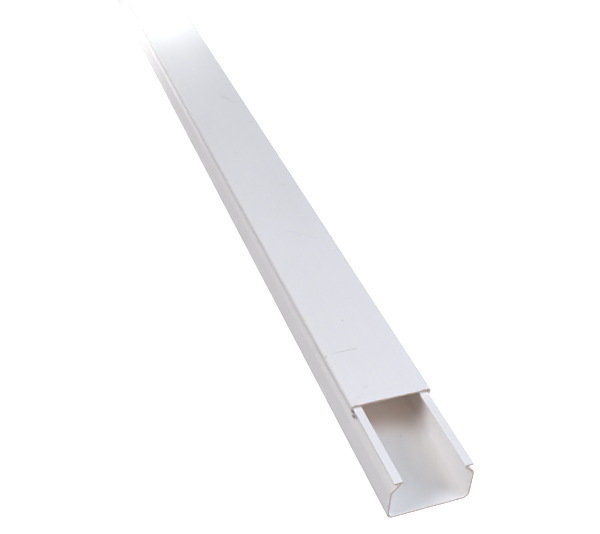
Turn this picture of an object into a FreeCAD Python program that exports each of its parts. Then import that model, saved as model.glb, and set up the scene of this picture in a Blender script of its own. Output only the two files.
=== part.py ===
import FreeCAD, Part

import math
import os

# Cable raceway: a straight plastic trunking of two extrusions, in millimetres.
#
# A U-shaped base lies on its flat back. Each side wall turns in at a shoulder, rises along a sloping shelf
# to a neck, and ends in a lip that reaches outwards. A flat cover straddles the two lips: its short legs
# carry hooks that lie in the grooves between lip and shelf. The cover is as long as the base and is pushed
# back along it, so the near end of the base lies open.
#
# +X runs along the extrusion, away from the open near end, +Y runs across it and +Z is up. The origin is
# the centre of the base's back face.

# Overall sizes
base_length = 2000.0
cover_length = 2000.0
cover_set_back = 45.0
overall_width = 40.0
overall_height = 25.0

# Walls of the base
wall_thickness = 1.0
floor_thickness = 1.1
corner_radius = 3.5

# Shelf, neck and lip on each side of the base
shelf_slope = 47.0
shelf_run = 3.7
shelf_thickness = 1.2
groove_root_height = 0.5
neck_thickness = 1.7
lip_thickness = 1.1
lip_reach = 2.45

# Cover plate, legs and hooks
plate_thickness = 1.05
air_over_lip = 1.15
plate_edge_radius = 1.3
leg_height = 3.1
leg_clearance = 0.2
hook_clearance = 0.2
hook_reach = 1.25
hook_depth = 1.2

# Small roundings
shoulder_round = 0.6
bend_round = 0.9
hook_round = 0.4
edge_round = 0.25
root_round = 0.15
corner_share = 0.45

# Heights and distances from the middle that both extrusions share
half_width = overall_width / 2
plate_underside = overall_height - plate_thickness
lip_top = plate_underside - air_over_lip
lip_underside = lip_top - lip_thickness
groove_root = lip_underside - groove_root_height
slope = math.tan(math.radians(shelf_slope))
shoulder_height = groove_root - shelf_run * slope
neck_outside = half_width - shelf_run
neck_inside = neck_outside - neck_thickness
lip_end = neck_outside + lip_reach


def shelf_underside(distance):
    """Height of the shelf's inner face at a distance from the middle."""
    outer_face = shoulder_height + (half_width - distance) * slope
    return outer_face - shelf_thickness / math.cos(math.radians(shelf_slope))


def rounded_wire(corners):
    """Closed wire in the plane x = 0 through corners (y, z, radius), with a tangent arc at each corner.

    A radius is cut down where its tangents would take up more than a share of the shorter edge beside it.
    """
    points = [FreeCAD.Vector(0, y, z) for y, z, radius in corners]
    count = len(points)
    bends = []
    for i, (y, z, radius) in enumerate(corners):
        back = points[i - 1] - points[i]
        ahead = points[(i + 1) % count] - points[i]
        half_angle = back.getAngle(ahead) / 2
        room = corner_share * min(back.Length, ahead.Length)
        tangent_length = min(radius / math.tan(half_angle), room)
        arc_radius = tangent_length * math.tan(half_angle)
        back.normalize()
        ahead.normalize()
        inwards = (back + ahead).normalize()
        summit = points[i] + inwards * (arc_radius / math.sin(half_angle) - arc_radius)
        bends.append((points[i] + back * tangent_length, summit, points[i] + ahead * tangent_length))
    edges = []
    for i, (start, summit, end) in enumerate(bends):
        edges.append(Part.Arc(start, summit, end).toShape())
        edges.append(Part.LineSegment(end, bends[(i + 1) % count][0]).toShape())
    return Part.Wire(edges)


def both_halves(corners):
    """Corners of a whole outline from those of its +Y half, which run from the middle back to the middle."""
    return corners + [(-y, z, radius) for y, z, radius in reversed(corners)]


def extrude(corners, near_end, length):
    """Solid whose section is the outline with these corners, from near_end along +X."""
    face = Part.Face(rounded_wire(corners))
    face.translate(FreeCAD.Vector(near_end, 0, 0))
    return face.extrude(FreeCAD.Vector(length, 0, 0))


def make_base_channel():
    """The base: back, side walls, shelves, necks and lips, all one section.

    The corners run from the back up the outside, round the lip and down the inside.
    """
    wall_inside = half_width - wall_thickness
    inner_radius = max(corner_radius - wall_thickness, root_round)
    half = [
        (half_width, 0, corner_radius),
        (half_width, shoulder_height, shoulder_round),
        (neck_outside, groove_root, root_round),
        (neck_outside, lip_underside, root_round),
        (lip_end, lip_underside, edge_round),
        (lip_end, lip_top, edge_round),
        (neck_inside, lip_top, edge_round),
        (neck_inside, shelf_underside(neck_inside), bend_round),
        (wall_inside, shelf_underside(wall_inside), bend_round),
        (wall_inside, floor_thickness, inner_radius),
    ]
    return extrude(both_halves(half), -base_length / 2, base_length)


def make_snap_cover():
    """The cover: a flat plate with a hooked leg along each edge.

    The corners run from the top down the outside of the leg, round the hook and up the inside. The hook
    lies under the lip with a small clearance, and so does the leg beside the lip's end.
    """
    leg_inside = lip_end + leg_clearance
    leg_foot = overall_height - leg_height
    hook_tip = leg_inside - hook_reach
    hook_top = lip_underside - hook_clearance
    hook_foot = hook_top - hook_depth
    half = [
        (half_width, overall_height, plate_edge_radius),
        (half_width, leg_foot, edge_round),
        (leg_inside, hook_foot, edge_round),
        (hook_tip, hook_foot, hook_round),
        (hook_tip, hook_top, edge_round),
        (leg_inside, hook_top, root_round),
        (leg_inside, plate_underside, edge_round),
    ]
    return extrude(both_halves(half), -base_length / 2 + cover_set_back, cover_length)


def main():
    """Builds the two extrusions and writes each to its own file."""
    os.makedirs("parts", exist_ok=True)
    pieces = {
        "base_channel": make_base_channel(),
        "snap_cover": make_snap_cover(),
    }
    for name, solid in pieces.items():
        solid.exportStep("parts/" + name + ".step")
        print(name, round(solid.Volume), "cubic mm")


main()
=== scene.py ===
"""Looks of the cable raceway: the clipped-together white plastic base and cover, on a white studio floor.

Every length is in metres, in the part's own frame: +X runs along the raceway, away from its open near end,
+Y across it and +Z up. Shapes are worked out with numpy and finishes are procedural.
"""

import logging
import math
from dataclasses import dataclass, field
from enum import Enum

import bpy
import numpy as np
from mathutils import Matrix, Vector

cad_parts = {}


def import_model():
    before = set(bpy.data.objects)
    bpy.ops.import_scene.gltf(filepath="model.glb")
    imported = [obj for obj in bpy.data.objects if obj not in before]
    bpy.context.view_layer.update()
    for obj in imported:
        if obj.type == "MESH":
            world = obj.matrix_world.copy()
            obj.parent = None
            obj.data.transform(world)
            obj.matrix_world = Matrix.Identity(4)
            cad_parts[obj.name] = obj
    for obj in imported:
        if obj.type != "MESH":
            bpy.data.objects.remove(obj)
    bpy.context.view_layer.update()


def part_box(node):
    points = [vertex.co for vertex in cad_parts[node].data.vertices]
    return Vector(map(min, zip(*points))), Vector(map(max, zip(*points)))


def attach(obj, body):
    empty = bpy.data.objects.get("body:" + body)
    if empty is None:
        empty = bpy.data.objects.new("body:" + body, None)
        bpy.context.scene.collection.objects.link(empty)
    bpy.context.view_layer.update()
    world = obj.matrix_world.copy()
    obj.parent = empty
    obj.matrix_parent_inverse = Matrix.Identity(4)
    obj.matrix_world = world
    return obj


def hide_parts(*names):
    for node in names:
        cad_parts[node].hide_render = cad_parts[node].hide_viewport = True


LOG = logging.getLogger("raceway")
MM = 0.001

Point = tuple[float, float, float]
Colour = tuple[float, float, float]


class Body(Enum):
    """The bodies that pieces ride on."""

    BASE = "base"
    COVER = "cover"


class Node(Enum):
    """The solids that the dressed pieces stand for."""

    BASE = "base_channel"
    COVER = "snap_cover"


class CutEnd(Enum):
    """The two cut ends of an extrusion, by the sign of the outward direction along X."""

    NEAR = -1
    FAR = 1


# Outlines and sweeps


def rounded_outline(corners: np.ndarray, steps: int, share: float = 0.45) -> np.ndarray:
    """Closed outline through corners, with a round arc at each.

    Each arc is tangent to both edges beside its corner. Its tangent length is radius / tan(half the corner's
    angle), or a share of the shorter edge if that is less, and its points turn evenly about the arc's centre
    from the first tangent point to the second.

    Args:
        corners: rows of (y, z, radius), in order round the outline.
        steps: spaces between the points of each arc.
        share: the largest part of an edge that an arc may take.

    Returns:
        Rows of (y, z), counter-clockwise as seen from +X.
    """
    spot = corners[:, :2]
    back = np.roll(spot, 1, axis=0) - spot
    ahead = np.roll(spot, -1, axis=0) - spot
    back_length = np.linalg.norm(back, axis=1)
    ahead_length = np.linalg.norm(ahead, axis=1)
    back = back / back_length[:, None]
    ahead = ahead / ahead_length[:, None]
    half_angle = np.arccos(np.clip((back * ahead).sum(axis=1), -1, 1)) / 2
    room = share * np.minimum(back_length, ahead_length)
    tangent = np.minimum(corners[:, 2] / np.tan(half_angle), room)
    radius = tangent * np.tan(half_angle)
    inwards = back + ahead
    inwards = inwards / np.linalg.norm(inwards, axis=1)[:, None]
    centre = spot + inwards * (radius / np.sin(half_angle))[:, None]
    first = spot + back * tangent[:, None] - centre
    last = spot + ahead * tangent[:, None] - centre
    turn = (np.pi - 2 * half_angle)[:, None, None]
    part = np.linspace(0, 1, steps + 1)[None, :, None]
    swing = np.sin((1 - part) * turn) * first[:, None] + np.sin(part * turn) * last[:, None]
    outline = (centre[:, None] + swing / np.sin(turn)).reshape(-1, 2)
    following = np.roll(outline, -1, axis=0)
    area = (outline[:, 0] * following[:, 1] - following[:, 0] * outline[:, 1]).sum()
    return outline if area > 0 else outline[::-1]


def filled(outline: np.ndarray, spacing: float) -> np.ndarray:
    """Outline with even points added on each edge that is longer than the spacing.

    A point of edge n is its start plus a share of the edge, and the shares are 0, 1/k ... (k-1)/k, where k is
    the edge's length over the spacing, rounded up.

    Args:
        outline: rows of (y, z).
        spacing: the longest edge that stays whole.

    Returns:
        Rows of (y, z), in the same order.
    """
    edge = np.roll(outline, -1, axis=0) - outline
    parts = np.ceil(np.linalg.norm(edge, axis=1) / spacing).astype(int).clip(1)
    owner = np.repeat(np.arange(len(outline)), parts)
    share = (np.arange(len(owner)) - np.repeat(np.cumsum(parts) - parts, parts)) / parts[owner]
    return outline[owner] + edge[owner] * share[:, None]


def both_halves(half: list[Point]) -> np.ndarray:
    """Corners of a whole outline from those of its +Y half, mirrored about the middle."""
    right = np.array(half)
    left = right[::-1] * np.array([-1.0, 1.0, 1.0])
    return np.vstack([right, left])


def outward(outline: np.ndarray) -> np.ndarray:
    """Unit normals of a counter-clockwise outline: its central difference, turned a quarter clockwise."""
    along = np.roll(outline, -1, axis=0) - np.roll(outline, 1, axis=0)
    normal = np.column_stack([along[:, 1], -along[:, 0]])
    return normal / np.linalg.norm(normal, axis=1)[:, None]


def new_object(
    name: str, points: np.ndarray, faces: list, slots: np.ndarray | None = None
) -> bpy.types.Object:
    """Mesh object at the origin.

    Args:
        name: name of the object and its mesh.
        points: rows of (x, y, z).
        faces: vertex indices of each face.
        slots: material slot of each face, or None for slot 0.

    Returns:
        The linked object.
    """
    mesh = bpy.data.meshes.new(name)
    mesh.from_pydata(points.tolist(), [], faces)
    if slots is not None:
        mesh.polygons.foreach_set("material_index", slots.astype(np.int32))
    mesh.validate()
    mesh.update()
    piece = bpy.data.objects.new(name, mesh)
    bpy.context.scene.collection.objects.link(piece)
    return piece


def grid_faces(rows: int, columns: int, wrap: bool) -> np.ndarray:
    """Quads of a grid of points stored row by row.

    Args:
        rows: rows of points.
        columns: points in each row.
        wrap: True where each row closes on itself.

    Returns:
        Rows of four indices. A face's first edge runs along its row, and its next one to the following row.
    """
    row = np.arange(rows - 1)[:, None]
    column = np.arange(columns if wrap else columns - 1)[None, :]
    beside = (column + 1) % columns
    quads = [row * columns + column, row * columns + beside]
    quads += [(row + 1) * columns + beside, (row + 1) * columns + column]
    return np.stack(quads, axis=-1).reshape(-1, 4)


@dataclass
class Extrusion:
    """A plastic profile drawn along X, with both ends sawn off.

    The skin is the outline carried over the stations. At each end the last ring is drawn in by the edge
    break, which leaves a fine chamfer round the sawn face.
    """

    name: str
    node: Node
    body: Body
    corners: np.ndarray
    near_x: float
    far_x: float
    arc_steps: int = 8
    edge_spacing: float = 1.3 * MM
    edge_break: float = 0.07 * MM
    near_reach: int = 89
    middle_steps: int = 95
    far_reach: float = 12 * MM
    far_marks: tuple[int, ...] = (10, 8, 6, 4, 2)
    sharp_angle: float = math.radians(32)
    saw_wander: float = 0.15 * MM
    saw_depth: float = 6 * MM
    saw_waves: Point = (37 * MM, 13 * MM, 4.1 * MM)
    saw_weights: Point = (0.5, 0.35, 0.15)
    seed: int = 1

    def outline(self) -> np.ndarray:
        """The rounded section, as rows of (y, z), with points along its flats for the saw to move."""
        return filled(rounded_outline(self.corners, self.arc_steps), self.edge_spacing)

    def stations(self) -> np.ndarray:
        """Places along X: each millimetre of the near reach, then long even steps, and the far marks, which
        are millimetres from the far end."""
        length = self.far_x - self.near_x
        near = np.arange(1, self.near_reach + 1) * MM
        middle = np.linspace(near[-1], length - self.far_reach, self.middle_steps + 1)[1:]
        far = length - np.array(self.far_marks) * MM
        ends = np.array([self.edge_break])
        places = np.concatenate([ends, near, middle, far, length - ends])
        return self.near_x + places

    def wander(self, across: np.ndarray) -> np.ndarray:
        """How far the saw ran into the material at each distance across: three sines of random phase, kept
        above zero."""
        random = np.random.default_rng(self.seed)
        phases = random.uniform(0, 2 * np.pi, 3)
        waves = 2 * np.pi / np.array(self.saw_waves)
        weights = np.array(self.saw_weights)
        total = (np.sin(across[..., None] * waves + phases) * weights).sum(axis=-1)
        return self.saw_wander * (total + 1) / 2

    def shape(self, points: np.ndarray) -> np.ndarray:
        """Local dents and bends of this extrusion. The plain one has none."""
        return points

    def build(self) -> bpy.types.Object:
        """Skin, chamfers and sawn faces as one closed mesh.

        A skin point is (station, y, z). Near each end it moves along X by the saw's wander times
        (1 - distance from the end / saw_depth) squared.

        Returns:
            The object, with the sawn faces in material slot 1.
        """
        outline = self.outline()
        inset = outline - outward(outline) * self.edge_break
        x = self.stations()
        rings = np.concatenate([inset[None], np.repeat(outline[None], len(x), axis=0), inset[None]])
        x = np.concatenate([[self.near_x], x, [self.far_x]])
        grid = np.concatenate([np.broadcast_to(x[:, None, None], rings.shape[:2] + (1,)), rings], axis=2)
        for end in CutEnd:
            cut_x = self.near_x if end is CutEnd.NEAR else self.far_x
            fade = np.clip(1 - np.abs(grid[..., 0] - cut_x) / self.saw_depth, 0, 1) ** 2
            grid[..., 0] -= end.value * fade * self.wander(grid[..., 1] + end.value * self.far_x)
        grid = self.shape(grid)
        rows, columns = grid.shape[:2]
        skin = grid_faces(rows, columns, wrap=True).tolist()
        near_face = list(range(columns))[::-1]
        far_face = list(range((rows - 1) * columns, rows * columns))
        slots = np.zeros(len(skin) + 2)
        slots[-2:] = 1
        piece = new_object(self.name, grid.reshape(-1, 3), skin + [near_face, far_face], slots)
        piece.data.polygons.foreach_set("use_smooth", np.ones(len(piece.data.polygons), dtype=bool))
        piece.data.set_sharp_from_angle(angle=self.sharp_angle)
        return piece

    def dress(self, piece: bpy.types.Object, skin: bpy.types.Material, sawn: bpy.types.Material) -> None:
        """Gives the piece its finishes and its body, and hides the solid it stands for.

        Args:
            piece: the object from build.
            skin: finish of the drawn surface.
            sawn: finish of the sawn faces.
        """
        piece.data.materials.append(skin)
        piece.data.materials.append(sawn)
        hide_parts(self.node.value)
        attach(piece, self.body.value)


@dataclass(frozen=True)
class Section:
    """Sizes that the base and the cover are both drawn from."""

    width: float = 40 * MM
    height: float = 25 * MM
    wall: float = 1.0 * MM
    floor: float = 1.1 * MM
    corner: float = 3.5 * MM
    shelf_slope: float = math.radians(47)
    shelf_run: float = 3.7 * MM
    shelf: float = 1.2 * MM
    groove_root: float = 0.5 * MM
    neck: float = 1.7 * MM
    lip: float = 1.1 * MM
    lip_reach: float = 2.45 * MM
    plate: float = 1.05 * MM
    air_over_lip: float = 1.15 * MM
    plate_edge: float = 1.3 * MM
    leg_height: float = 3.1 * MM
    leg_clearance: float = 0.2 * MM
    hook_clearance: float = 0.2 * MM
    hook_reach: float = 1.25 * MM
    hook_depth: float = 1.2 * MM
    shoulder_round: float = 4.5 * MM
    shoulder_inner_round: float = 3.6 * MM
    bend_round: float = 0.9 * MM
    hook_round: float = 0.4 * MM
    edge_round: float = 0.25 * MM
    root_round: float = 0.15 * MM

    @property
    def half(self) -> float:
        """Half the overall width."""
        return self.width / 2

    @property
    def plate_underside(self) -> float:
        """Height of the cover plate's underside."""
        return self.height - self.plate

    @property
    def lip_top(self) -> float:
        """Height of the top of the lips."""
        return self.plate_underside - self.air_over_lip

    @property
    def lip_underside(self) -> float:
        """Height of the underside of the lips."""
        return self.lip_top - self.lip

    @property
    def groove(self) -> float:
        """Height at which the shelf meets the neck."""
        return self.lip_underside - self.groove_root

    @property
    def shoulder(self) -> float:
        """Height at which the side wall turns in."""
        return self.groove - self.shelf_run * math.tan(self.shelf_slope)

    @property
    def lip_end(self) -> float:
        """Distance of a lip's outer edge from the middle."""
        return self.half - self.shelf_run + self.lip_reach

    def shelf_inside(self, distance: float) -> float:
        """Height of the shelf's inner face at a distance from the middle."""
        face = self.shoulder + (self.half - distance) * math.tan(self.shelf_slope)
        return face - self.shelf / math.cos(self.shelf_slope)

    def base_corners(self) -> np.ndarray:
        """Corners of the base, from its back up the outside, round the lip and down the inside."""
        outside = self.half - self.shelf_run
        inside = outside - self.neck
        wall = self.half - self.wall
        return both_halves(
            [
                (self.half, 0, self.corner),
                (self.half, self.shoulder, self.shoulder_round),
                (outside, self.groove, self.root_round),
                (outside, self.lip_underside, self.root_round),
                (self.lip_end, self.lip_underside, self.edge_round),
                (self.lip_end, self.lip_top, self.edge_round),
                (inside, self.lip_top, self.edge_round),
                (inside, self.shelf_inside(inside), self.bend_round),
                (wall, self.shelf_inside(wall), self.shoulder_inner_round),
                (wall, self.floor, self.corner - self.wall),
            ]
        )

    def cover_corners(self) -> np.ndarray:
        """Corners of the cover, from its top down the leg, round the hook and up to the underside."""
        leg = self.lip_end + self.leg_clearance
        tip = leg - self.hook_reach
        hook_top = self.lip_underside - self.hook_clearance
        foot = hook_top - self.hook_depth
        return both_halves(
            [
                (self.half, self.height, self.plate_edge),
                (self.half, self.height - self.leg_height, self.edge_round),
                (leg, foot, self.edge_round),
                (tip, foot, self.hook_round),
                (tip, hook_top, self.edge_round),
                (leg, hook_top, self.root_round),
                (leg, self.plate_underside, self.edge_round),
            ]
        )


@dataclass
class BaseChannel(Extrusion):
    """The base: floor, walls, shelves, necks and lips."""

    seed: int = 3
    saw_wander: float = 0.12 * MM


@dataclass
class SnapCover(Extrusion):
    """The cover: a plate with a hooked leg along each edge, nicked at one edge and chipped at the cut."""

    seed: int = 8
    saw_wander: float = 0.22 * MM
    nick_x: float = 34 * MM
    nick_half_length: float = 1.1 * MM
    nick_depth: float = 0.45 * MM
    nick_margin: float = 1.2 * MM
    nick_from: float = 23 * MM
    nick_rise: float = 1.0 * MM
    nick_push: Point = (0.0, 0.8, 0.6)
    chips: tuple[Point, ...] = ((-16.2, 1.1, 0.32), (-18.2, 0.9, 0.42), (17.6, 1.2, 0.30), (5.0, 3.5, 0.10))
    chip_reach: float = 1.5 * MM
    chip_from: float = 23.6 * MM
    chip_rise: float = 1.4 * MM

    def shape(self, points: np.ndarray) -> np.ndarray:
        """Takes the chips out of the cut edge and presses the nick into the +Y edge of the plate.

        A chip is (y, half width, depth) in millimetres: a cosine bump across Y that fades over chip_reach
        from the cut and comes in over chip_rise above the height chip_from. It moves the points into the
        cover. The nick's depth is a cosine bump along X, times a ramp across nick_margin inside the edge and
        one over nick_rise above nick_from. It moves the points inwards and down, against nick_push.

        Args:
            points: grid of (x, y, z).

        Returns:
            The grid with the chips and the nick in it.
        """
        chip = np.array(self.chips) * MM
        across = np.clip(np.abs(points[..., 1, None] - chip[:, 0]) / chip[:, 1], 0, 1)
        near = np.clip(1 - (points[..., 0] - self.near_x) / self.chip_reach, 0, 1)
        upmost = np.clip((points[..., 2] - self.chip_from) / self.chip_rise, 0, 1)
        bite = ((1 + np.cos(np.pi * across)) / 2 * chip[:, 2]).sum(axis=-1) * near * upmost
        points = points + bite[..., None] * np.array([1.0, 0.0, 0.0])
        reach = np.clip(np.abs(points[..., 0] - self.near_x - self.nick_x) / self.nick_half_length, 0, 1)
        bump = (1 + np.cos(np.pi * reach)) / 2
        edge = points[..., 1].max()
        near_edge = np.clip((points[..., 1] - edge + self.nick_margin) / self.nick_margin, 0, 1)
        upper = np.clip((points[..., 2] - self.nick_from) / self.nick_rise, 0, 1)
        depth = self.nick_depth * bump * near_edge * upper
        return points - depth[..., None] * np.array(self.nick_push)


@dataclass(frozen=True)
class Flake:
    """One ragged flake that the saw left on a cut edge.

    root is the middle of its attached edge and along that edge's direction. The flake grows towards out,
    bends towards lift with the square of the distance, and thins to its tip, which is spread times as wide
    as its root.
    """

    root: Point
    along: Point
    out: Point
    lift: Point
    width: float
    spread: float
    length: float
    curl: float
    seed: int


@dataclass
class CutBurrs:
    """The flakes left on the cover's cut end, as one piece."""

    flakes: list[Flake]
    thickness: float = 0.22 * MM
    rows: int = 9
    columns: int = 11
    roughness: float = 0.16 * MM
    noise_at_tip: float = 0.6
    shortest: float = 0.45
    thinning: float = 0.6

    def sheet(self, flake: Flake) -> np.ndarray:
        """Front face of a flake, as a grid of points.

        A point is root + along * width * u + out * length * v * rag(u) + lift * curl * v squared, and a
        little noise that grows with v. u runs from -1/2 to 1/2 and v from 0 to 1; rag is a random length for
        each column, from shortest to 1, and the width goes from 1 to spread times itself with v.

        Args:
            flake: the flake to work out.

        Returns:
            Grid of (x, y, z), rows outwards from the root.
        """
        random = np.random.default_rng(flake.seed)
        u = np.linspace(-0.5, 0.5, self.columns)[None, :, None]
        v = np.linspace(0, 1, self.rows)[:, None, None]
        rag = random.uniform(self.shortest, 1.0, self.columns)[None, :, None]
        widening = 1 + (flake.spread - 1) * v
        grid = (
            np.array(flake.root)
            + np.array(flake.along) * flake.width * u * widening
            + np.array(flake.out) * flake.length * v * rag
            + np.array(flake.lift) * flake.curl * v**2
        )
        return grid + random.normal(0, self.roughness, grid.shape) * v * self.noise_at_tip

    def build(self) -> bpy.types.Object:
        """All flakes as closed shells in one mesh: each sheet has a back, and a strip joins their rims."""
        points, faces, first = [], [], 0
        for flake in self.flakes:
            front = self.sheet(flake)
            normal = np.cross(np.array(flake.along), np.array(flake.out))
            thin = 1 - self.thinning * np.linspace(0, 1, self.rows)[:, None, None]
            back = front - normal * self.thickness * thin
            count = self.rows * self.columns
            quads = grid_faces(self.rows, self.columns, wrap=False)
            grid = np.arange(count).reshape(self.rows, self.columns)
            rim = np.concatenate([grid[0], grid[1:, -1], grid[-1, -2::-1], grid[-2:0:-1, 0]])
            ahead = np.roll(rim, -1)
            strip = np.column_stack([ahead, rim, rim + count, ahead + count])
            shell = np.vstack([quads, quads[:, ::-1] + count, strip])
            faces += (shell + first).tolist()
            points += [front.reshape(-1, 3), back.reshape(-1, 3)]
            first += 2 * count
        return new_object("cut_burrs", np.vstack(points), faces)

    def dress(self, piece: bpy.types.Object, finish: bpy.types.Material) -> None:
        """Gives the burrs their finish and lets them ride on the cover.

        Args:
            piece: the object from build.
            finish: the burrs' material.
        """
        piece.data.materials.append(finish)
        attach(piece, Body.COVER.value)


# Finishes

# Numbers of a Mix node's sockets for two colours and their mix
MIX_FIRST, MIX_SECOND, MIX_RESULT = 6, 7, 2

# The values between which most of a noise lies
NOISE_MIDDLE = (0.3, 0.7)


class Sheet:
    """A material's node sheet, with short ways to add and join nodes."""

    def __init__(self, name: str) -> None:
        """Starts an empty material with an output and a Principled shader."""
        self.material = bpy.data.materials.new(name)
        self.material.use_nodes = True
        self.tree = self.material.node_tree
        self.tree.nodes.clear()
        self.output = self.tree.nodes.new("ShaderNodeOutputMaterial")
        self.shader = self.tree.nodes.new("ShaderNodeBsdfPrincipled")
        self.tree.links.new(self.shader.outputs["BSDF"], self.output.inputs["Surface"])

    def put(self, socket: bpy.types.NodeSocket, value: object) -> None:
        """Joins a socket to value, or sets it where value is a plain number, vector or colour."""
        if isinstance(value, bpy.types.NodeSocket):
            self.tree.links.new(value, socket)
        else:
            socket.default_value = value

    def node(self, kind: str, inputs: dict, **settings: object) -> bpy.types.Node:
        """Adds a node.

        Args:
            kind: the node's type, without its ShaderNode prefix.
            inputs: values or sockets by input name or number.
            settings: the node's own properties.

        Returns:
            The new node.
        """
        made = self.tree.nodes.new("ShaderNode" + kind)
        for key, value in settings.items():
            setattr(made, key, value)
        for key, value in inputs.items():
            self.put(made.inputs[key], value)
        return made

    def maths(self, operation: str, *values: object, clamp: bool = False) -> bpy.types.NodeSocket:
        """Result of a Math node."""
        made = self.node("Math", dict(enumerate(values)), operation=operation, use_clamp=clamp)
        return made.outputs[0]

    def vector_maths(self, operation: str, *values: object) -> bpy.types.Node:
        """A Vector Math node."""
        return self.node("VectorMath", dict(enumerate(values)), operation=operation)

    def band(
        self, value: object, low: float, high: float, to_low: float, to_high: float
    ) -> bpy.types.NodeSocket:
        """A value carried smoothly from one range to another."""
        inputs = {"Value": value, "From Min": low, "From Max": high, "To Min": to_low, "To Max": to_high}
        made = self.node("MapRange", inputs, interpolation_type="SMOOTHSTEP")
        return made.outputs["Result"]

    def ramp(self, value: object, start: float, end: float) -> bpy.types.NodeSocket:
        """0 before start and 1 past end, where end may also be the smaller of the two."""
        if start < end:
            return self.band(value, start, end, 0.0, 1.0)
        return self.band(value, end, start, 1.0, 0.0)

    def place(self) -> bpy.types.NodeSocket:
        """Object coordinates, which are metres in the part's frame."""
        return self.node("TexCoord", {}).outputs["Object"]

    def noise(self, place: object, stretch: Point, detail: float = 2.0) -> bpy.types.NodeSocket:
        """Noise from 0 to 1 whose features are 1 / stretch metres long in each direction."""
        scaled = self.node("Mapping", {"Vector": place, "Scale": stretch})
        made = self.node("TexNoise", {"Vector": scaled.outputs[0], "Scale": 1.0, "Detail": detail})
        return made.outputs["Fac"]

    def blend(self, part: object, first: object, second: object) -> bpy.types.NodeSocket:
        """Mix of two colours."""
        made = self.node("Mix", {0: part}, data_type="RGBA", blend_type="MIX")
        self.put(made.inputs[MIX_FIRST], first)
        self.put(made.inputs[MIX_SECOND], second)
        return made.outputs[MIX_RESULT]

    def bump(
        self, height: object, distance: float, strength: float = 1.0, under: object = None
    ) -> bpy.types.NodeSocket:
        """Normal bent by a height, on top of another bent normal where one is given."""
        inputs = {"Height": height, "Distance": distance, "Strength": strength}
        if under is not None:
            inputs["Normal"] = under
        return self.node("Bump", inputs).outputs["Normal"]


def opaque(colour: Colour) -> tuple[float, float, float, float]:
    """A colour with full alpha."""
    return (*colour, 1.0)


@dataclass(frozen=True)
class Stroke:
    """A thin mark on an upper surface, from start to end, both as (x, y)."""

    start: tuple[float, float]
    end: tuple[float, float]
    width: float
    strength: float


@dataclass(frozen=True)
class Dot:
    """A small round mark at a place on any surface."""

    place: Point
    radius: float
    strength: float


@dataclass(frozen=True)
class ShadedEdge:
    """A strip along both sides of a profile painted a little darker, as painted shade, and made duller.

    The strip comes in where the distance from the middle goes from across[0] to across[1], and the height
    from up[0] to up[1].
    """

    across: tuple[float, float]
    up: tuple[float, float]
    strength: float


@dataclass(frozen=True)
class Room:
    """A stretch inside a profile painted a little creamier, as painted warm shade of light bounced round
    inside.

    Along X it fades in over fade from start, ends length past start and fades out there over leave. It
    reaches half_width to both sides, begins at the height low and fades out over fall below high.
    """

    start: float
    fade: float
    length: float
    leave: float
    half_width: float
    low: float
    high: float
    fall: float = 0.6 * MM


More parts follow.
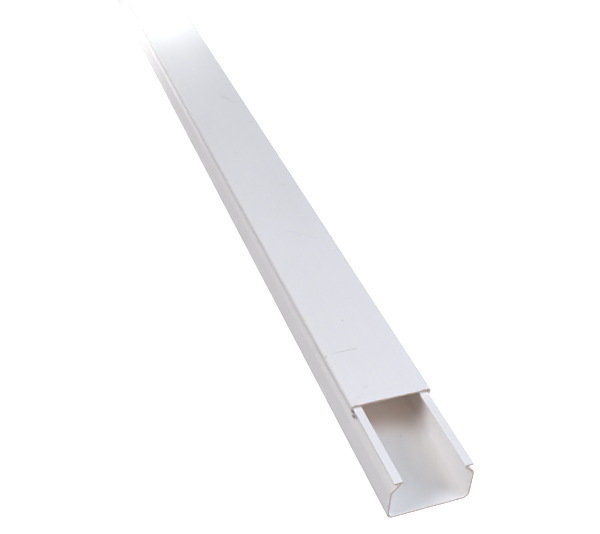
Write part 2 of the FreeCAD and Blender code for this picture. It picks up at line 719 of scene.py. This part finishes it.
@dataclass(frozen=True)
class WhitePlastic:
    """Drawn rigid white plastic: faint lengthwise die lines, a fine skin and soft mottling, with marks, and,
    where it has them, edge strips made duller and painted darker as painted shade, and rooms painted creamier
    as painted warm shade.

    A grain is how many of a noise's features fit into a metre in each direction.
    """

    name: str
    colour: Colour = (0.815, 0.790, 0.762)
    shade: Colour = (0.795, 0.770, 0.742)
    # Colour of the painted shade in the edge strips.
    speck: Colour = (0.16, 0.14, 0.13)
    edge: Colour = (0.42, 0.37, 0.34)
    # Colour of the painted warm shade in the rooms.
    warm_shade: Colour = (0.82, 0.71, 0.63)
    roughness: float = 0.36
    band_roughness: float = 0.05
    skin_roughness: float = 0.03
    edge_roughness: float = 0.3
    ior: float = 1.5
    line_grain: Point = (2.5, 1300.0, 1300.0)
    band_grain: Point = (1.2, 160.0, 160.0)
    cloud_grain: Point = (14.0, 24.0, 24.0)
    skin_grain: Point = (1900.0, 1900.0, 1900.0)
    wave_grain: Point = (9.0, 22.0, 22.0)
    line_share: float = 0.35
    die_line_depth: float = 0.010 * MM
    skin_depth: float = 0.004 * MM
    wave_depth: float = 0.10 * MM
    depth_weight: float = 1.0
    depth_radius: Point = (1.0, 1.0, 1.0)
    depth_scale: float = 0.35 * MM
    speck_cells: float = 62.0
    speck_size: tuple[float, float] = (0.006, 0.016)
    speck_chosen: float = 0.86
    speck_strength: float = 0.45
    stroke_grain: Point = (1400.0, 1400.0, 1400.0)
    stroke_breaks: tuple[float, float] = (0.36, 0.60)
    stroke_least: float = 0.3
    dot_core: float = 0.4
    strokes: tuple[Stroke, ...] = ()
    faint_marks: tuple[Stroke, ...] = ()
    dots: tuple[Dot, ...] = ()
    marks_above: float = 0.0
    # Strips along the edges painted darker, as painted shade.
    shaded_edges: tuple[ShadedEdge, ...] = ()
    # Rooms painted creamier, as painted warm shade.
    warm_shade_rooms: tuple[Room, ...] = ()

    def edges(self, sheet: Sheet, place: object) -> bpy.types.NodeSocket | float:
        """Mask of the edge strips that are painted darker as shade.

        Args:
            sheet: the material's node sheet.
            place: position socket.

        Returns:
            Mask socket, from 0 to the largest strength, or 0 where there are no such edges.
        """
        parts = sheet.node("SeparateXYZ", {0: place}).outputs
        side = sheet.maths("ABSOLUTE", parts["Y"])
        total: object = 0.0
        for tone in self.shaded_edges:
            outer = sheet.ramp(side, *tone.across)
            mask = sheet.maths("MULTIPLY", outer, sheet.ramp(parts["Z"], *tone.up))
            total = sheet.maths("MAXIMUM", total, sheet.maths("MULTIPLY", mask, tone.strength))
        return total

    def warm_shade_mask(self, sheet: Sheet, place: object) -> bpy.types.NodeSocket | float:
        """Mask of the rooms of painted warm shade, from 0 to 1.

        Args:
            sheet: the material's node sheet.
            place: position socket.

        Returns:
            Mask socket, or 0 where there are no rooms.
        """
        parts = sheet.node("SeparateXYZ", {0: place}).outputs
        side = sheet.maths("ABSOLUTE", parts["Y"])
        total: object = 0.0
        for room in self.warm_shade_rooms:
            mask = sheet.ramp(parts["X"], room.start, room.start + room.fade)
            end = room.start + room.length
            mask = sheet.maths("MULTIPLY", mask, sheet.ramp(parts["X"], end + room.leave, end))
            mask = sheet.maths("MULTIPLY", mask, sheet.maths("LESS_THAN", side, room.half_width))
            mask = sheet.maths("MULTIPLY", mask, sheet.maths("GREATER_THAN", parts["Z"], room.low))
            top = sheet.ramp(parts["Z"], room.high, room.high - room.fall)
            mask = sheet.maths("MULTIPLY", mask, top)
            total = sheet.maths("MAXIMUM", total, mask)
        return total

    def stroke_mask(self, sheet: Sheet, place: object, stroke: Stroke) -> bpy.types.NodeSocket:
        """How much a stroke shows at a place.

        The place is dropped onto the stroke's line, held between its ends, and the mask falls from 1 to 0
        over half the stroke's width from there.

        Args:
            sheet: the material's node sheet.
            place: position socket.
            stroke: the mark.

        Returns:
            Mask from 0 to the stroke's strength.
        """
        run = (stroke.end[0] - stroke.start[0], stroke.end[1] - stroke.start[1], 0.0)
        flat = sheet.vector_maths("MULTIPLY", place, (1.0, 1.0, 0.0)).outputs[0]
        away = sheet.vector_maths("SUBTRACT", flat, (*stroke.start, 0.0)).outputs[0]
        along = sheet.vector_maths("DOT_PRODUCT", away, run).outputs["Value"]
        part = sheet.maths("DIVIDE", along, run[0] ** 2 + run[1] ** 2, clamp=True)
        foot = sheet.node("VectorMath", {0: run, "Scale": part}, operation="SCALE").outputs[0]
        gap = sheet.vector_maths("DISTANCE", away, foot).outputs["Value"]
        return sheet.band(gap, 0.0, stroke.width / 2, stroke.strength, 0.0)

    def marks(self, sheet: Sheet, place: object) -> bpy.types.NodeSocket:
        """Mask of the strokes, faint marks and dots together.

        Strokes are broken up by a fine noise, and they and the faint marks keep to the upper surface.

        Args:
            sheet: the material's node sheet.
            place: position socket.

        Returns:
            Mask from 0 to 1.
        """
        height = sheet.node("SeparateXYZ", {0: place}).outputs["Z"]
        upper = sheet.maths("GREATER_THAN", height, self.marks_above)
        grain = sheet.noise(place, self.stroke_grain, detail=1.0)
        broken = sheet.band(grain, *self.stroke_breaks, self.stroke_least, 1.0)
        total: object = 0.0
        for stroke in self.strokes:
            total = sheet.maths("MAXIMUM", total, self.stroke_mask(sheet, place, stroke))
        total = sheet.maths("MULTIPLY", total, broken)
        for faint_mark in self.faint_marks:
            total = sheet.maths("MAXIMUM", total, self.stroke_mask(sheet, place, faint_mark))
        total = sheet.maths("MULTIPLY", total, upper)
        for dot in self.dots:
            gap = sheet.vector_maths("DISTANCE", place, dot.place).outputs["Value"]
            round_mask = sheet.band(gap, dot.radius * self.dot_core, dot.radius, dot.strength, 0.0)
            total = sheet.maths("MAXIMUM", total, round_mask)
        return total

    def specks(self, sheet: Sheet, place: object) -> bpy.types.NodeSocket:
        """Mask of sparse dark specks: the centres of one in seven cells of a cell pattern."""
        cells = sheet.node("TexVoronoi", {"Vector": place, "Scale": self.speck_cells})
        near = sheet.band(cells.outputs["Distance"], *self.speck_size, 1.0, 0.0)
        draw = sheet.node("SeparateColor", {0: cells.outputs["Color"]}).outputs[0]
        chosen = sheet.maths("GREATER_THAN", draw, self.speck_chosen)
        return sheet.maths("MULTIPLY", sheet.maths("MULTIPLY", near, chosen), self.speck_strength)

    def make(self) -> bpy.types.Material:
        """The material.

        Returns:
            A Principled material whose colour, roughness and normal vary over the surface.
        """
        sheet = Sheet(self.name)
        place = sheet.place()
        lines = sheet.noise(place, self.line_grain, detail=3.0)
        bands = sheet.noise(place, self.band_grain)
        cloud = sheet.noise(place, self.cloud_grain)
        skin = sheet.noise(place, self.skin_grain)
        wave = sheet.noise(place, self.wave_grain, detail=1.0)
        part = sheet.maths("MULTIPLY", lines, self.line_share)
        tone = sheet.maths("ADD", part, sheet.maths("MULTIPLY", cloud, 1 - self.line_share))
        tone = sheet.band(tone, *NOISE_MIDDLE, 0.0, 1.0)
        colour = sheet.blend(tone, opaque(self.shade), opaque(self.colour))
        # Painted warm shade in the rooms.
        colour = sheet.blend(self.warm_shade_mask(sheet, place), colour, opaque(self.warm_shade))
        dark = sheet.maths("MAXIMUM", self.specks(sheet, place), self.marks(sheet, place))
        colour = sheet.blend(dark, colour, opaque(self.speck))
        # Edge strips: painted shade in the colour, and more roughness.
        edge_shade_and_dullness = self.edges(sheet, place)
        colour = sheet.blend(edge_shade_and_dullness, colour, opaque(self.edge))
        banded = sheet.band(bands, *NOISE_MIDDLE, -self.band_roughness, self.band_roughness)
        grainy = sheet.band(skin, *NOISE_MIDDLE, -self.skin_roughness, self.skin_roughness)
        rough = sheet.maths("ADD", banded, self.roughness)
        rough = sheet.maths("ADD", rough, grainy)
        rough = sheet.maths("ADD", rough, sheet.maths("MULTIPLY", edge_shade_and_dullness, self.edge_roughness))
        normal = sheet.bump(wave, self.wave_depth)
        normal = sheet.bump(lines, self.die_line_depth, under=normal)
        normal = sheet.bump(skin, self.skin_depth, under=normal)
        sheet.put(sheet.shader.inputs["Base Color"], colour)
        sheet.put(sheet.shader.inputs["Roughness"], rough)
        sheet.put(sheet.shader.inputs["Normal"], normal)
        sheet.shader.inputs["IOR"].default_value = self.ior
        sheet.shader.inputs["Subsurface Weight"].default_value = self.depth_weight
        sheet.shader.inputs["Subsurface Radius"].default_value = self.depth_radius
        sheet.shader.inputs["Subsurface Scale"].default_value = self.depth_scale
        return sheet.material


@dataclass(frozen=True)
class SawnPlastic:
    """Sawn plastic: fine slanting saw lines, rougher and dustier than the drawn skin."""

    name: str
    colour: Colour
    groove: Colour
    slant: float = math.radians(24)
    tooth_grain: Point = (500.0, 260.0, 3600.0)
    dust_grain: Point = (700.0, 700.0, 700.0)
    tooth_range: tuple[float, float] = (0.3, 0.65)
    dust_range: tuple[float, float] = (0.25, 0.7)
    dust_least: float = 0.35
    smoothest: float = 0.54
    roughest: float = 0.74
    rough_range: tuple[float, float] = (0.2, 0.8)
    line_depth: float = 0.06 * MM
    line_strength: float = 0.8

    def make(self) -> bpy.types.Material:
        """The material.

        Returns:
            A Principled material whose colour and normal follow the saw lines, and its roughness the dust.
        """
        sheet = Sheet(self.name)
        place = sheet.place()
        rotation = (self.slant, 0.0, 0.0)
        turned = sheet.node("Mapping", {"Vector": place, "Rotation": rotation}).outputs[0]
        teeth = sheet.noise(turned, self.tooth_grain, detail=3.0)
        dust = sheet.noise(place, self.dust_grain, detail=3.0)
        lines = sheet.band(teeth, *self.tooth_range, 0.0, 1.0)
        part = sheet.maths("MULTIPLY", lines, sheet.band(dust, *self.dust_range, self.dust_least, 1.0))
        colour = sheet.blend(part, opaque(self.groove), opaque(self.colour))
        rough = sheet.band(dust, *self.rough_range, self.smoothest, self.roughest)
        normal = sheet.bump(teeth, self.line_depth, self.line_strength)
        sheet.put(sheet.shader.inputs["Base Color"], colour)
        sheet.put(sheet.shader.inputs["Roughness"], rough)
        sheet.put(sheet.shader.inputs["Normal"], normal)
        return sheet.material


@dataclass(frozen=True)
class StudioFloor:
    """Plain pale floor that glows a little, as a lit white sweep does."""

    name: str = "studio_floor"
    colour: Colour = (0.5, 0.5, 0.5)
    glow: Colour = (1.0, 0.99, 0.99)
    glow_strength: float = 0.95
    roughness: float = 0.9

    def make(self) -> bpy.types.Material:
        """The material."""
        sheet = Sheet(self.name)
        sheet.shader.inputs["Base Color"].default_value = opaque(self.colour)
        sheet.shader.inputs["Roughness"].default_value = self.roughness
        sheet.shader.inputs["Specular IOR Level"].default_value = 0.0
        sheet.shader.inputs["Emission Color"].default_value = opaque(self.glow)
        sheet.shader.inputs["Emission Strength"].default_value = self.glow_strength
        return sheet.material


# Studio


NEAR_END: Point = (-0.97, 0.0, 0.01)
FAR_STRETCH: Point = (1.45, 0.0, 0.0)


@dataclass(frozen=True)
class Softbox:
    """A rectangular lamp that points at a spot."""

    name: str
    place: Point
    aim: Point
    width: float
    length: float
    watts: float
    colour: Colour

    def build(self) -> bpy.types.Object:
        """The lamp, its length as near to X as its aim allows."""
        name = "softbox_" + self.name
        lamp = bpy.data.lights.new(name, "AREA")
        lamp.shape = "RECTANGLE"
        lamp.size = self.length
        lamp.size_y = self.width
        lamp.energy = self.watts
        lamp.color = self.colour
        made = bpy.data.objects.new(name, lamp)
        bpy.context.scene.collection.objects.link(made)
        look = (Vector(self.aim) - Vector(self.place)).normalized()
        across = Vector((1, 0, 0)) - look * look.x
        across.normalize()
        up = (-look).cross(across)
        turn = Matrix((across, up, -look)).transposed()
        made.matrix_world = Matrix.Translation(Vector(self.place)) @ turn.to_4x4()
        made.visible_camera = False
        return made


@dataclass(frozen=True)
class Viewpoint:
    """The camera: where it stands and how it is turned.

    heading is the view direction's angle from +X, tilt its angle below the horizon, and roll a turn about
    the view direction. reach is the focal length in widths of the picture.
    """

    place: Point = (-1.230656, 0.157618, 0.333583)
    heading: float = math.radians(-21.619)
    tilt: float = math.radians(37.044)
    roll: float = math.radians(3.123)
    reach: float = 958.672 / 600
    film: float = 36.0
    clip: tuple[float, float] = (0.01, 50.0)

    def build(self) -> bpy.types.Object:
        """The camera object, made the scene's camera."""
        lens = bpy.data.cameras.new("camera")
        lens.sensor_width = self.film
        lens.lens = self.film * self.reach
        lens.clip_start, lens.clip_end = self.clip
        made = bpy.data.objects.new("camera", lens)
        bpy.context.scene.collection.objects.link(made)
        turn = (
            Matrix.Rotation(self.heading - math.pi / 2, 3, "Z")
            @ Matrix.Rotation(math.pi / 2 - self.tilt, 3, "X")
            @ Matrix.Rotation(self.roll, 3, "Z")
        )
        made.matrix_world = Matrix.Translation(Vector(self.place)) @ turn.to_4x4()
        bpy.context.scene.camera = made
        return made


@dataclass
class Studio:
    """Floor, lamps, sky and camera.

    Four lamps stand round the near end. The two fade lamps are small and close to the part, and make it fade
    to white towards the upper edge of the picture. The two far ones are long, and light the rest of the part.
    """

    half_floor: float = 9.0
    lamps: tuple[Softbox, ...] = (
        Softbox("left", (-0.97, 0.92, 0.78), NEAR_END, 0.55, 0.55, 10.9, (0.93, 0.93, 1.0)),
        Softbox("front", (-2.13, 0.0, 0.32), NEAR_END, 0.55, 0.55, 11.4, (0.95, 0.96, 1.0)),
        Softbox("low_right", (-1.55, -1.0, 0.32), NEAR_END, 0.55, 0.55, 7.8, (0.67, 0.81, 1.0)),
        Softbox("high_right", (-1.22, -0.44, 1.10), NEAR_END, 0.55, 0.55, 6.9, (0.77, 0.84, 0.98)),
        Softbox("fade_top", (-0.47, 0.015, 0.075), (-0.47, 0.015, 0.0), 0.10, 0.15, 0.062, (0.95, 1.0, 1.0)),
        Softbox("fade_left", (-0.47, 0.10, 0.012), (-0.47, 0.0, 0.012), 0.02, 0.14, 0.062, (0.97, 0.97, 1.0)),
        Softbox("far_left", (1.45, 0.30, 0.24), FAR_STRETCH, 0.15, 3.0, 5.0, (0.95, 0.97, 1.0)),
        Softbox("far_right", (1.45, -0.30, 0.24), FAR_STRETCH, 0.15, 3.0, 5.0, (0.95, 0.97, 1.0)),
    )
    sky: Colour = (1.0, 1.0, 1.0)
    sky_strength: float = 0.95
    viewpoint: Viewpoint = field(default_factory=Viewpoint)

    def build(self) -> None:
        """Makes the stage round the part, with the floor's top at height zero. Neither the floor nor the sky
        throws soft light at the part."""
        side = np.array([-1.0, 1.0]) * self.half_floor
        y, x = np.meshgrid(side, side)
        points = np.column_stack([x.ravel(), y.ravel(), np.zeros(4)])
        floor = new_object("floor", points, [[0, 2, 3, 1]])
        floor.data.materials.append(StudioFloor().make())
        floor.visible_diffuse = False
        for lamp in self.lamps:
            lamp.build()
        world = bpy.data.worlds.new("studio")
        world.use_nodes = True
        backdrop = world.node_tree.nodes["Background"]
        backdrop.inputs["Color"].default_value = opaque(self.sky)
        backdrop.inputs["Strength"].default_value = self.sky_strength
        world.cycles_visibility.diffuse = False
        world.cycles_visibility.glossy = False
        bpy.context.scene.world = world
        bpy.context.scene.view_settings.view_transform = "Standard"
        self.viewpoint.build()
        LOG.info("studio: %d lamps", len(self.lamps))


def strokes_from(near_x: float, listed: list[tuple[float, ...]]) -> tuple[Stroke, ...]:
    """Strokes from rows of x, y, x, y, width and strength, in millimetres, with X from the near end."""
    return tuple(
        Stroke((near_x + a * MM, b * MM), (near_x + c * MM, d * MM), width * MM, strength)
        for a, b, c, d, width, strength in listed
    )


def dots_from(near_x: float, listed: list[tuple[float, ...]]) -> tuple[Dot, ...]:
    """Dots from rows of x, y, z, radius and strength, in millimetres, with X from the near end."""
    return tuple(
        Dot((near_x + x * MM, y * MM, z * MM), radius * MM, strength)
        for x, y, z, radius, strength in listed
    )


def tones_from(side: float, level: float, listed: list[tuple[float, ...]]) -> tuple[ShadedEdge, ...]:
    """Edge tones from rows of two distances inside side, two heights above level, both in millimetres, and
    strength."""
    return tuple(
        ShadedEdge((side - a * MM, side - b * MM), (level + c * MM, level + d * MM), strength)
        for a, b, c, d, strength in listed
    )


def cover_plastic(near_x: float, section: Section) -> WhitePlastic:
    """Finish of the cover, with its pencil line, scratches, faint dark curves and blots, specks, edge strips
    painted darker as shade, and warm shade painted inside near its cut end.

    Args:
        near_x: X of the cover's cut end.
        section: sizes of the section.

    Returns:
        The finish.
    """
    top = section.height / MM
    pencil_and_scratches = [
        (35.4, 2.8, 35.5, 12.6, 0.50, 0.80),
        (35.5, 12.6, 35.5, 15.4, 0.45, 0.55),
        (34.5, 18.5, 34.1, 19.6, 0.70, 0.75),
        (9.2, 10.1, 10.2, 7.5, 0.45, 0.45),
        (4.1, 14.6, 4.5, 13.6, 0.42, 0.40),
        (5.7, 12.6, 5.9, 11.9, 0.45, 0.50),
    ]
    faint_dark_marks = [
        (138.1, 2.9, 133.4, -4.6, 1.8, 0.060),
        (133.4, -4.6, 126.3, -10.0, 2.2, 0.045),
        (303.8, -8.0, 299.7, -10.2, 6.0, 0.075),
        (299.7, -10.2, 294.2, -12.4, 5.0, 0.055),
        (228.3, 6.1, 228.6, 5.8, 6.0, 0.045),
        (184.5, -10.8, 184.9, -10.6, 7.0, 0.035),
    ]
    specks = [
        (56.8, 1.5, top, 0.42, 0.75),
        (132.0, -2.2, top, 0.45, 0.45),
        (113.1, -16.9, top, 0.40, 0.45),
    ]
    # Strips at the plate's rounded edge and down the legs, painted darker as shade.
    edges = [(0.9, 0.4, 0.0, 0.4, 0.14), (0.5, 0.3, 0.5, 0.1, 0.25)]
    # Painted warm shade inside the cover near its cut end.
    room = Room(
        start=near_x,
        fade=5 * MM,
        length=80 * MM,
        leave=60 * MM,
        half_width=section.lip_end,
        low=0.0,
        high=section.plate_underside + 0.7 * MM,
    )
    return WhitePlastic(
        "cover_plastic",
        strokes=strokes_from(near_x, pencil_and_scratches),
        faint_marks=strokes_from(near_x, faint_dark_marks),
        dots=dots_from(near_x, specks),
        marks_above=section.height - 0.5 * MM,
        shaded_edges=tones_from(section.half, section.height - 1.0 * MM, edges),
        warm_shade_rooms=(room,),
    )


def base_plastic(near_x: float, covered_x: float, section: Section) -> WhitePlastic:
    """Finish of the base, with a speck on its floor and two on a side wall, edges beside the cover's legs and
    by the floor painted darker as shade, and painted creamier inside for a while under the cover's near end,
    as painted warm shade.

    Args:
        near_x: X of the base's near end.
        covered_x: X of the cover's near end.
        section: sizes of the section.

    Returns:
        The finish.
    """
    wall = section.half / MM
    floor = section.floor / MM
    specks = [
        (41.5, -5.8, floor, 0.40, 0.50),
        (102.3, wall, 15.6, 0.50, 0.50),
        (49.6, wall, 10.2, 0.45, 0.35),
    ]
    # The lips' outer edges beside the cover's legs and the foot of each side wall by the floor are painted
    # darker, as painted shade.
    lip = tones_from(section.lip_end, 0.0, [(0.35, 0.1, 21.4, 21.6, 0.25)])
    foot = tones_from(section.half, 0.0, [(0.8, 0.6, 4.4, 2.8, 0.6)])
    # Painted warm shade inside the channel under the cover's near end.
    room = Room(
        start=covered_x - 6 * MM,
        fade=18 * MM,
        length=90 * MM,
        leave=60 * MM,
        half_width=section.half - 0.7 * section.wall,
        low=0.6 * section.floor,
        high=section.shoulder,
    )
    return WhitePlastic(
        "base_plastic", dots=dots_from(near_x, specks), shaded_edges=lip + foot, warm_shade_rooms=(room,)
    )


def cover_flakes(near_x: float, section: Section) -> list[Flake]:
    """Flakes on the cover's cut end: a thread beside its +Y leg, and two ragged clots that hang from the
    thread's tip.

    Args:
        near_x: X of the cut end.
        section: sizes of the section.

    Returns:
        The flakes.
    """
    side = section.lip_end + 0.55 * MM
    tip_x = near_x - 2.7 * MM
    clot = section.lip_underside - 0.1 * MM
    thread = Flake(
        root=(near_x + 0.1 * MM, side, section.lip_top + 0.2 * MM),
        along=(0, 1, 0.5),
        out=(-1, 0, -0.2),
        lift=(0, 0, -1),
        width=0.34 * MM,
        spread=1.1,
        length=3.2 * MM,
        curl=0.1 * MM,
        seed=4,
    )
    upper_clot = Flake(
        root=(tip_x, side, clot),
        along=(0.2, 1, 0.1),
        out=(-0.1, 0, -1),
        lift=(-1, 0, 0),
        width=0.9 * MM,
        spread=1.1,
        length=1.5 * MM,
        curl=0.2 * MM,
        seed=9,
    )
    lower_clot = Flake(
        root=(tip_x + 1.1 * MM, side + 0.3 * MM, clot - 0.6 * MM),
        along=(1, -0.2, 0.2),
        out=(0, 0.05, -1),
        lift=(-1, 0, 0),
        width=1.3 * MM,
        spread=0.8,
        length=1.0 * MM,
        curl=0.1 * MM,
        seed=12,
    )
    return [thread, upper_clot, lower_clot]


def main() -> None:
    """Builds the pieces in order, dresses them and sets the stage."""
    logging.basicConfig(level=logging.INFO, format="%(name)s: %(message)s")
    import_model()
    section = Section()
    base_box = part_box(Node.BASE.value)
    cover_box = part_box(Node.COVER.value)
    sawn = SawnPlastic("sawn_plastic", colour=(0.48, 0.38, 0.32), groove=(0.31, 0.24, 0.20)).make()

    base = BaseChannel(
        "base", Node.BASE, Body.BASE, section.base_corners(), base_box[0].x, base_box[1].x
    )
    piece = base.build()
    base.dress(piece, base_plastic(base.near_x, cover_box[0].x, section).make(), sawn)
    LOG.info("base: %d faces", len(piece.data.polygons))

    cover = SnapCover(
        "cover", Node.COVER, Body.COVER, section.cover_corners(), cover_box[0].x, cover_box[1].x
    )
    piece = cover.build()
    cover.dress(piece, cover_plastic(cover.near_x, section).make(), sawn)
    LOG.info("cover: %d faces", len(piece.data.polygons))

    burrs = CutBurrs(cover_flakes(cover.near_x, section))
    piece = burrs.build()
    # The burrs' darker colour is partly dirt and partly painted shade.
    finish = SawnPlastic("burr_plastic", colour=(0.42, 0.37, 0.34), groove=(0.25, 0.21, 0.19))
    burrs.dress(piece, finish.make())
    LOG.info("burrs: %d flakes", len(burrs.flakes))

    Studio().build()


if __name__ == "__main__":
    main()
